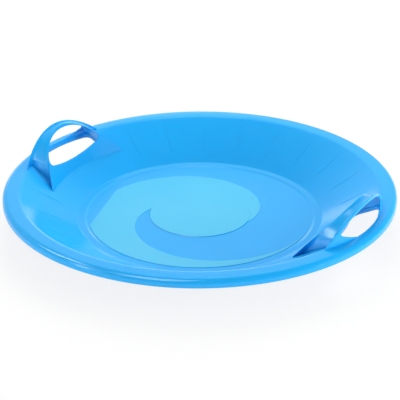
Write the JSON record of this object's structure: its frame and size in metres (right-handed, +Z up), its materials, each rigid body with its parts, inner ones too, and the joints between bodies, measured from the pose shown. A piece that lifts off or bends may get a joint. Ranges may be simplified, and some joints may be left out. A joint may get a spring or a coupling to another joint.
{
  "type": "saucer sled",
  "caption": "Round moulded plastic snow saucer: a shallow dish with a flat floor, sloped wall and rolled rim, and a hooded grab handle at either side.",
  "frame": {"origin": "on the ground, under the centre of the dish's floor", "axes": "+Z up, the dish's axis; +X through the middle of the right handle, the left handle at -X; +Y completes the right-handed frame"},
  "size_m": [0.6, 0.6, 0.095],
  "materials": {
    "shell": "glossy sky-blue moulded polypropylene, with one arm of the floor's swirl and the centre disc finely matt"
  },
  "bodies": {
    "root": {"dish": "shell", "left_handle": "shell", "right_handle": "shell", "rim_ribs": "shell"}
  },
  "joints": []
}
